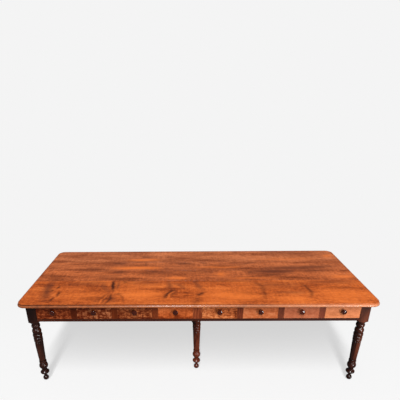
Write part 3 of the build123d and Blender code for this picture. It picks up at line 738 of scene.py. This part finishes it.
# Streaks of the boards of the top, as kind, start, span, bow, width and strength, all in plan
FRONT_STREAKS = (
    # knot at the left
    ("grey", (-1.235, -0.150), (0.045, -0.350), (-0.020, 0.0), 0.038, 0.75),
    ("dark", (-1.160, -0.240), (0.010, -0.065), (0.004, 0.0), 0.012, 0.80),
    ("dark", (-1.200, -0.325), (0.030, -0.020), (0.0, 0.0), 0.024, 0.55),
    ("dark", (-1.126, -0.360), (0.006, -0.090), (0.006, 0.0), 0.013, 0.75),
    ("dark", (-1.142, -0.460), (-0.014, -0.060), (0.0, 0.0), 0.012, 0.75),
    # knot with its tail, third from the left
    ("grey", (-0.790, -0.180), (0.070, -0.170), (-0.024, 0.0), 0.030, 0.60),
    ("dark", (-0.716, -0.135), (0.032, -0.205), (-0.004, 0.0), 0.015, 1.00),
    ("grey", (-0.670, -0.150), (0.010, -0.160), (0.004, 0.0), 0.020, 0.55),
    ("dark", (-0.625, -0.150), (0.030, -0.050), (0.010, 0.0), 0.030, 0.55),
    ("dark", (-0.690, -0.395), (-0.020, -0.185), (0.008, 0.0), 0.014, 0.80),
    ("dark", (-0.690, -0.400), (-0.105, -0.140), (-0.034, 0.0), 0.020, 0.45),
    ("dark", (-0.715, -0.400), (-0.055, -0.150), (-0.016, 0.0), 0.011, 0.60),
    ("dark", (-0.700, -0.400), (-0.036, -0.170), (-0.010, 0.0), 0.009, 0.60),
    ("bright", (-0.706, -0.410), (-0.046, -0.160), (-0.012, 0.0), 0.007, 0.50),
    ("dark", (-0.655, -0.405), (0.040, -0.010), (0.0, 0.006), 0.020, 0.50),
    ("dark", (-0.630, -0.405), (0.060, -0.150), (0.016, 0.0), 0.010, 0.45),
    ("grey", (-0.670, -0.440), (0.010, -0.120), (0.0, 0.0), 0.030, 0.35),
    # left of the middle
    ("grey", (-0.250, -0.150), (0.028, -0.180), (0.010, 0.0), 0.028, 0.60),
    ("grey", (-0.180, -0.190), (0.080, -0.130), (0.014, 0.0), 0.028, 0.50),
    ("dark", (-0.190, -0.330), (-0.070, -0.155), (-0.012, 0.0), 0.016, 0.90),
    ("dark", (-0.180, -0.375), (-0.024, -0.075), (0.0, 0.0), 0.014, 0.55),
    ("bright", (-0.196, -0.350), (-0.040, -0.150), (-0.006, 0.0), 0.009, 0.70),
    # under the middle
    ("grey", (-0.012, -0.140), (0.060, -0.200), (-0.010, 0.0), 0.030, 0.60),
    ("dark", (0.060, -0.375), (-0.055, -0.060), (-0.006, 0.0), 0.020, 0.85),
    ("dark", (0.000, -0.450), (-0.016, -0.140), (0.0, 0.0), 0.026, 0.40),
    # wide arcs at the right
    ("dark", (0.488, -0.170), (0.030, -0.330), (0.040, 0.0), 0.026, 0.42),
    ("dark", (0.872, -0.210), (0.020, -0.260), (0.034, 0.0), 0.018, 0.62),
    ("grey", (0.620, -0.385), (0.270, 0.000), (0.0, 0.0), 0.030, 0.45),
    ("grey", (0.480, -0.240), (0.380, 0.000), (0.0, 0.0), 0.070, 0.42),
    # along the joint
    ("dark", (-0.690, -0.150), (0.300, 0.000), (0.0, 0.0), 0.014, 0.50),
    ("dark", (-0.050, -0.165), (0.560, 0.000), (0.0, 0.0), 0.020, 0.50),
    ("grey", (0.900, -0.190), (0.450, 0.000), (0.0, 0.0), 0.040, 0.50),
    ("grey", (-1.100, -0.200), (0.330, 0.000), (0.0, 0.0), 0.045, 0.45),
    ("grey", (-0.560, -0.190), (0.260, 0.000), (0.0, 0.0), 0.040, 0.40),
    # light stretches
    ("bright", (-1.060, -0.440), (0.280, 0.000), (0.0, 0.0), 0.070, 0.30),
    ("bright", (-0.590, -0.420), (0.280, 0.000), (0.0, 0.0), 0.080, 0.60),
    ("bright", (0.080, -0.430), (0.400, 0.000), (0.0, 0.0), 0.110, 0.55),
    ("bright", (0.600, -0.500), (0.280, 0.000), (0.0, 0.0), 0.050, 0.50),
    ("bright", (0.980, -0.430), (0.360, 0.000), (0.0, 0.0), 0.120, 0.50),
)
SECOND_STREAKS = (
    ("grey", (-1.060, 0.078), (0.420, 0.000), (0.0, 0.0), 0.026, 0.65),
    ("grey", (-0.760, 0.050), (0.120, 0.000), (0.0, 0.0), 0.040, 0.70),
    ("grey", (-0.450, 0.040), (0.260, 0.000), (0.0, 0.0), 0.040, 0.55),
    ("dark", (-0.160, 0.055), (0.320, 0.000), (0.0, 0.0), 0.045, 0.45),
    ("dark", (0.260, 0.072), (0.260, 0.000), (0.0, 0.0), 0.020, 0.40),
    ("grey", (0.480, 0.050), (0.420, 0.000), (0.0, 0.0), 0.060, 0.90),
    ("grey", (0.900, 0.060), (0.300, 0.000), (0.0, 0.0), 0.045, 0.60),
    ("dark", (0.465, 0.030), (0.040, 0.000), (0.0, 0.0), 0.036, 0.50),
    ("dark", (0.600, -0.025), (0.180, 0.000), (0.0, 0.0), 0.022, 0.30),
    ("grey", (-0.900, -0.060), (0.250, 0.000), (0.0, 0.0), 0.040, 0.35),
    ("bright", (-0.250, -0.095), (0.170, 0.000), (0.0, 0.0), 0.030, 0.65),
    ("bright", (0.190, -0.010), (0.070, 0.000), (0.0, 0.0), 0.045, 0.60),
    ("bright", (0.290, -0.100), (0.420, 0.000), (0.0, 0.0), 0.016, 0.45),
    ("bright", (1.180, -0.080), (0.190, 0.000), (0.0, 0.0), 0.040, 0.50),
)
THIRD_STREAKS = (
    ("grey", (-0.790, 0.255), (0.130, 0.000), (0.0, 0.0), 0.030, 0.65),
    ("dark", (-0.465, 0.290), (-0.006, -0.090), (0.0, 0.0), 0.014, 0.45),
    ("dark", (-0.180, 0.245), (0.160, 0.000), (0.0, 0.0), 0.040, 0.50),
    ("dark", (0.020, 0.262), (0.090, 0.000), (0.0, 0.0), 0.022, 0.40),
    ("dark", (0.430, 0.210), (0.150, 0.055), (-0.012, 0.008), 0.018, 0.50),
    ("dark", (0.320, 0.265), (0.090, 0.000), (0.0, 0.0), 0.022, 0.35),
    ("grey", (0.620, 0.110), (0.640, 0.040), (0.0, 0.0), 0.048, 0.80),
    ("dark", (1.210, 0.170), (0.040, 0.010), (0.0, 0.0), 0.022, 0.35),
    ("grey", (-1.060, 0.150), (0.240, 0.000), (0.0, 0.0), 0.040, 0.30),
    ("bright", (-0.770, 0.140), (0.430, 0.000), (0.0, 0.0), 0.030, 0.85),
    ("bright", (0.000, 0.150), (0.420, 0.000), (0.0, 0.0), 0.022, 0.45),
)
BACK_STREAKS = (
    ("dark", (-1.200, 0.290), (0.750, 0.000), (0.0, 0.0), 0.012, 0.25),
    ("grey", (-0.530, 0.435), (0.100, -0.020), (0.0, 0.0), 0.022, 0.70),
    ("dark", (-0.280, 0.420), (0.050, 0.000), (0.0, 0.0), 0.020, 0.40),
    ("dark", (0.470, 0.440), (0.030, 0.000), (0.0, 0.0), 0.018, 0.40),
    ("grey", (0.700, 0.510), (0.450, 0.000), (0.0, 0.0), 0.022, 0.40),
    ("bright", (-0.640, 0.340), (0.280, 0.010), (0.0, 0.0), 0.026, 0.70),
    ("bright", (0.600, 0.350), (0.560, 0.000), (0.0, 0.0), 0.030, 0.30),
    ("bright", (1.270, 0.430), (0.090, 0.000), (0.0, 0.0), 0.040, 0.50),
)

# Top: light, middle and dark tones of each board from front to back, and its streaks; the boards further back are
# paler and greyer, partly their own tone and partly a painted sheen
TOP_WOODS_AND_SHEEN = (
    (linear(222, 118, 52), linear(190, 90, 34), linear(112, 42, 8), FRONT_STREAKS),
    (linear(214, 116, 62), linear(168, 84, 42), linear(106, 46, 14), SECOND_STREAKS),
    (linear(210, 116, 66), linear(166, 86, 46), linear(106, 44, 14), THIRD_STREAKS),
    (linear(212, 122, 74), linear(172, 94, 54), linear(120, 52, 20), BACK_STREAKS),
)
for number, (light, middle, dark, strokes) in enumerate(TOP_WOODS_AND_SHEEN, start=1):
    paint(
        nodes[f"top_board_{number}"],
        wood(
            f"top_wood_{number}", light, middle, dark, shift=(0.37 * number, -0.21 * number, 0.0),
            roughness=0.36, strokes=strokes, rim=True, Fibres=0.9, Ripple=0.7, Patches=2.0, Flecks=1.4,
            Fleck_Density=0.7,
        ),
    )

# Legs: a dark red-brown; light, middle and dark tones, and how much lighter the block is. The tones carry painted
# light and shade: the left legs darkest and the others lighter, as the light falls from the right, and the right
# legs' block lighter still as painted light
LEG_WOODS_LIT_AND_SHADED = {
    "left": (linear(78, 38, 24), linear(34, 11, 5), linear(8, 2, 1), 0.0),
    "centre": (linear(134, 62, 37), linear(71, 25, 11), linear(12, 3, 1), 0.0),
    "right": (linear(112, 57, 37), linear(44, 15, 6), linear(9, 2, 1), 0.22),
}
for names, block in ((CORNER_LEGS, CORNER_BLOCK), (CENTRE_LEGS, CENTRE_BLOCK)):
    for node_name, place in names.items():
        piece = leg_surface(f"turned_{node_name}", place, block)
        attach(piece, "frame")
        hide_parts(node_name)
        light, middle, dark, block_painted_light = LEG_WOODS_LIT_AND_SHADED[node_name.rsplit("_", 1)[-1]]
        # Painted shade in the hollows of the turning; on the right legs, painted light on the block
        material = wood(
            f"{node_name}_wood", light, middle, dark, turn=ALONG_Z, coat=0.7, roughness=0.3, gloss=0.05, hollow_shade=0.9,
            block=(TURNED_HEIGHT, block_painted_light), Rings=0.2, Fibres=0.5, Ripple=0.2, Patches=1.6,
        )
        paint(piece, material)

# Rails and aprons: the same dark wood, its fibres along X or along Y
FRAME_TONES = (linear(80, 36, 20), linear(56, 21, 9), linear(38, 10, 3))
FRAME_FIGURE = {"Rings": 0.2, "Fibres": 0.5, "Ripple": 0.6, "Patches": 1.6}
frame_x = wood("frame_wood_x", *FRAME_TONES, shift=(0.4, 0.2, 0.1), **FRAME_FIGURE)
frame_y = wood("frame_wood_y", *FRAME_TONES, turn=ALONG_Y, **FRAME_FIGURE)
for node_name in ("front_bottom_rail", "front_top_rail", "rear_apron"):
    paint(nodes[node_name], frame_x)
for node_name in ("end_apron_left", "end_apron_right", "centre_rail_front", "centre_rail_middle", "centre_rail_rear"):
    paint(nodes[node_name], frame_y)

# Dividers: each a different cut of the same red-brown wood, the middle one lighter; their tones also carry
# painted shade, darker towards the left
DIVIDER_WOODS_AND_SHADE = {
    1: (linear(112, 44, 16), linear(80, 28, 6), linear(58, 14, 0)),
    2: (linear(130, 58, 26), linear(98, 38, 10), linear(74, 22, 2)),
    3: (linear(130, 62, 32), linear(111, 47, 18), linear(84, 26, 4)),
    4: (linear(176, 90, 48), linear(136, 64, 34), linear(104, 42, 16)),
    5: (linear(130, 63, 35), linear(105, 44, 20), linear(81, 31, 13)),
    6: (linear(124, 62, 37), linear(99, 46, 26), linear(77, 31, 16)),
    7: (linear(128, 66, 40), linear(110, 48, 28), linear(86, 32, 14)),
}
for number, tones in DIVIDER_WOODS_AND_SHADE.items():
    material = wood(
        f"divider_wood_{number}", *tones, turn=ALONG_Z, shift=(0.3 * number, 0.0, 0.0), coat=0.1, Rings=0.5,
        Fibres=0.8, Ripple=0.4, Patches=1.4, Flecks=0.8,
    )
    paint(nodes[f"drawer_divider_{number}"], material)

# Drawers: each front has its own wood, given by its light, middle and dark tones, its ripple, patches and flecks;
# the boxes have a paler one
FRONT_WOODS = {
    1: (linear(184, 98, 56), linear(112, 44, 13), linear(66, 10, 0), 0.8, 1.4, 2.8),
    2: (linear(192, 116, 74), linear(106, 42, 12), linear(72, 12, 0), 1.0, 1.4, 2.8),
    3: (linear(180, 102, 58), linear(106, 42, 13), linear(70, 13, 0), 1.0, 1.6, 2.6),
    4: (linear(220, 117, 61), linear(171, 79, 33), linear(104, 34, 4), 0.6, 2.8, 1.4),
    5: (linear(218, 138, 86), linear(182, 95, 48), linear(96, 36, 8), 0.6, 1.6, 2.4),
    6: (linear(200, 122, 79), linear(177, 92, 49), linear(132, 59, 24), 0.4, 1.8, 1.6),
    7: (linear(188, 114, 80), linear(170, 93, 60), linear(136, 66, 38), 0.5, 1.6, 1.2),
    8: (linear(224, 145, 100), linear(203, 121, 76), linear(166, 93, 53), 0.3, 1.6, 1.2),
}
box_wood = wood(
    "drawer_box_wood", linear(206, 158, 104), linear(180, 130, 82), linear(120, 80, 48), turn=ALONG_Y, coat=0.0,
    roughness=0.55, Rings=0.4, Fibres=0.4, Ripple=0.1, Patches=0.4,
)
knob_wood = wood(
    "knob_wood", linear(84, 26, 8), linear(58, 14, 3), linear(22, 4, 1), turn=ALONG_Y, coat=1.0, roughness=0.4,
    coat_roughness=0.15, coat_ior=1.6, gloss=0.0, Rings=0.3, Fibres=0.3, Ripple=0.0, Patches=0.8,
)
for number, (light, middle, dark, ripple, patches, flecks) in FRONT_WOODS.items():
    paint(
        nodes[f"drawer_{number}_front"],
        wood(
            f"drawer_front_wood_{number}", light, middle, dark, shift=(0.83 * number, 0.31 * number, 0.17 * number),
            coat=0.1, roughness=0.34, Rings=0.2, Fibres=0.5, Ripple=ripple, Patches=patches, Flecks=flecks,
            Fleck_Density=0.7,
        ),
    )
    paint(nodes[f"drawer_{number}_box"], box_wood)
    low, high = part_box(f"drawer_{number}_knob")
    piece = knob_surface(f"turned_knob_{number}", (low.x + high.x) / 2, (low.z + high.z) / 2)
    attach(piece, f"drawer_{number}")
    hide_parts(f"drawer_{number}_knob")
    paint(piece, knob_wood)

# Pieces inside the frame: a plain pale wood, its fibres along X or along Y
INNER_TONES = (linear(170, 122, 80), linear(138, 94, 58), linear(90, 58, 36))
INNER_FINISH = {"coat": 0.0, "roughness": 0.6, "Rings": 0.4, "Fibres": 0.5, "Ripple": 0.1, "Patches": 0.4}
inner_x = wood("inner_wood_x", *INNER_TONES, **INNER_FINISH)
inner_y = wood("inner_wood_y", *INNER_TONES, turn=ALONG_Y, **INNER_FINISH)
for node_name in ("top_tongues", "drawer_stops", "top_buttons"):
    paint(nodes[node_name], inner_x)
for node_name in ("drawer_runners", "drawer_guides", "drawer_kickers"):
    paint(nodes[node_name], inner_y)


def steel(name):
    """Plain screw steel with a slightly uneven finish."""
    material, t, shader = new_material(name)
    shader.inputs["Metallic"].default_value = 1.0
    cloud = t.noise(t.where(), scale=160.0, detail=4.0, roughness=0.65)
    t.put(shader.inputs["Base Color"], t.blend(cloud, (0.26, 0.25, 0.24, 1), (0.55, 0.54, 0.52, 1)))
    t.put(shader.inputs["Roughness"], t.span(cloud, low=0.2, high=0.8, to_low=0.28, to_high=0.55))
    return material


paint(nodes["top_screws"], steel("screw_steel"))

# Floor and backdrop: a pale sweep that rises behind the table
SWEEP_HALF_WIDTH = 16.0
SWEEP_FRONT = -6.0
SWEEP_BEND = 7.0
SWEEP_RADIUS = 3.0
SWEEP_TOP = 14.0


def sweep_surface(name):
    """A floor that turns up behind the table: in Y and Z a straight line, a quarter of a circle and an upright,
    carried straight along X."""
    angle = np.linspace(0, np.pi / 2, 30)[1:]
    flat = np.linspace(SWEEP_FRONT, SWEEP_BEND, 40)
    run = np.concatenate([flat, SWEEP_BEND + SWEEP_RADIUS * np.sin(angle), [SWEEP_BEND + SWEEP_RADIUS]])
    rise = np.concatenate([np.zeros(len(flat)), SWEEP_RADIUS * (1 - np.cos(angle)), [SWEEP_TOP]])
    width = np.linspace(-SWEEP_HALF_WIDTH, SWEEP_HALF_WIDTH, 9)
    count = len(width)
    points = np.empty((len(run), count, 3))
    points[..., 0] = width
    points[..., 1] = run[:, None]
    points[..., 2] = rise[:, None]
    first = np.arange(len(run) - 1)[:, None] * count + np.arange(count - 1)[None, :]
    quads = np.stack([first, first + 1, first + count + 1, first + count], axis=-1).reshape(-1, 4)
    mesh = bpy.data.meshes.new(name)
    mesh.from_pydata(points.reshape(-1, 3).tolist(), [], quads.tolist())
    mesh.polygons.foreach_set("use_smooth", np.ones(len(quads), bool))
    return new_piece(name, mesh)


sweep = sweep_surface("backdrop")

# The paper's tone as the camera sees it and as light that bounces meets it. For the camera alone it glows a little
# near the table and is one pale tone further off; the place times the shape gives the distance for this.
PAPER_SEEN = (0.28, 0.295)
PAPER_BOUNCE = 0.14
NEAR_GLOW = 0.625
FAR_GLOW = 0.905
NEAR_SHAPE = (0.42, 0.62, 0.6)
NEAR_REACH = (0.75, 1.25)
paper, t, shader = new_material("backdrop_paper")
where = t.where()
camera_ray = t.add("ShaderNodeLightPath").outputs["Is Camera Ray"]
seen = t.blend(t.noise(where, scale=1.5), *(grey(value) for value in PAPER_SEEN))
t.put(shader.inputs["Base Color"], t.blend(camera_ray, grey(PAPER_BOUNCE), seen))
shader.inputs["Roughness"].default_value = 0.9
shader.inputs["Specular IOR Level"].default_value = 0.0
near_glow = t.add("ShaderNodeEmission", {"Color": grey(1.0)})
t.put(near_glow.inputs["Strength"], t.math("MULTIPLY", camera_ray, NEAR_GLOW))
near = t.add("ShaderNodeAddShader", {0: shader.outputs[0], 1: near_glow.outputs[0]})
far_glow = t.add("ShaderNodeEmission", {"Color": grey(FAR_GLOW), "Strength": 1.0})
far = t.span(t.vector("LENGTH", t.vector("MULTIPLY", where, NEAR_SHAPE)), *NEAR_REACH)
far = t.math("MULTIPLY", far, camera_ray)
mixed = t.add("ShaderNodeMixShader", {0: far, 1: near.outputs[0], 2: far_glow.outputs[0]})
t.put(t.find("OUTPUT_MATERIAL").inputs["Surface"], mixed.outputs[0])
paint(sweep, paper)

# Surroundings: soft studio light, and a pale background where the camera sees past the sweep
world = bpy.data.worlds.new("studio")
bpy.context.scene.world = world
world.use_nodes = True
t = Tree(world.node_tree)
camera_ray = t.add("ShaderNodeLightPath").outputs["Is Camera Ray"]
t.put(t.find("BACKGROUND").inputs["Color"], t.blend(camera_ray, (0.14, 0.14, 0.145, 1), grey(0.89)))


def lamp(name, place, target, size, power):
    """A rectangular soft light at a place, facing a target. The camera doesn't see it."""
    data = bpy.data.lights.new(name, "AREA")
    data.shape = "RECTANGLE"
    data.size, data.size_y = size
    data.energy = power
    light = bpy.data.objects.new(name, data)
    direction = Vector(target) - Vector(place)
    light.location = place
    light.rotation_euler = direction.to_track_quat("-Z", "Y").to_euler()
    light.visible_camera = False
    bpy.context.scene.collection.objects.link(light)
    return light


# Name, place, target, size and power in watts
lamp("softbox", (-0.9, -15.0, 21.0), (0.0, -0.2, 0.5), (2.4, 19.6), 8100.0)
key = lamp("key", (3.2, -4.2, 0.3), (0.3, -0.6, 0.6), (0.7, 0.7), 110.0)
fill = lamp("fill", (3.0, -4.6, 3.0), (0.9, -0.6, 0.7), (2.0, 0.8), 90.0)
rear = lamp("rear", (4.4, 5.0, 1.2), (0.0, 0.5, 0.5), (1.5, 1.0), 200.0)
rear.visible_glossy = False

# The lamps at the side and behind fall on the table only, so that the floor stays evenly lit
unlit = bpy.data.collections.new("not_lit_from_the_side")
unlit.objects.link(sweep)
unlit.collection_objects[0].light_linking.link_state = "EXCLUDE"
for side_lamp in (key, fill, rear):
    side_lamp.light_linking.receiver_collection = unlit

# Camera, as fitted to the photo: its focal length and the place of its axis are in pixels of the 400 pixel frame
FRAME = 400.0
FOCAL_LENGTH = 382.87
AXIS_ACROSS = 182.32
AXIS_DOWN = 288.19
CAMERA_PLACE = (-0.0840, -3.1532, 2.1393)
CAMERA_RIGHT = (0.99993, 0.00846, -0.00877)
CAMERA_AHEAD = (-0.01141, 0.90210, -0.43139)
camera_data = bpy.data.cameras.new("camera")
camera_data.sensor_width = 36.0
camera_data.lens = camera_data.sensor_width * FOCAL_LENGTH / FRAME
camera_data.shift_x = (FRAME / 2 - AXIS_ACROSS) / FRAME
camera_data.shift_y = (AXIS_DOWN - FRAME / 2) / FRAME
camera = bpy.data.objects.new("camera", camera_data)
right = Vector(CAMERA_RIGHT).normalized()
ahead = Vector(CAMERA_AHEAD).normalized()
up = right.cross(ahead).normalized()
right = ahead.cross(up).normalized()
turn = Matrix((right, up, -ahead)).transposed()
camera.matrix_world = Matrix.Translation(CAMERA_PLACE) @ turn.to_4x4()
bpy.context.scene.collection.objects.link(camera)
bpy.context.scene.camera = camera
bpy.context.scene.view_settings.view_transform = "Standard"
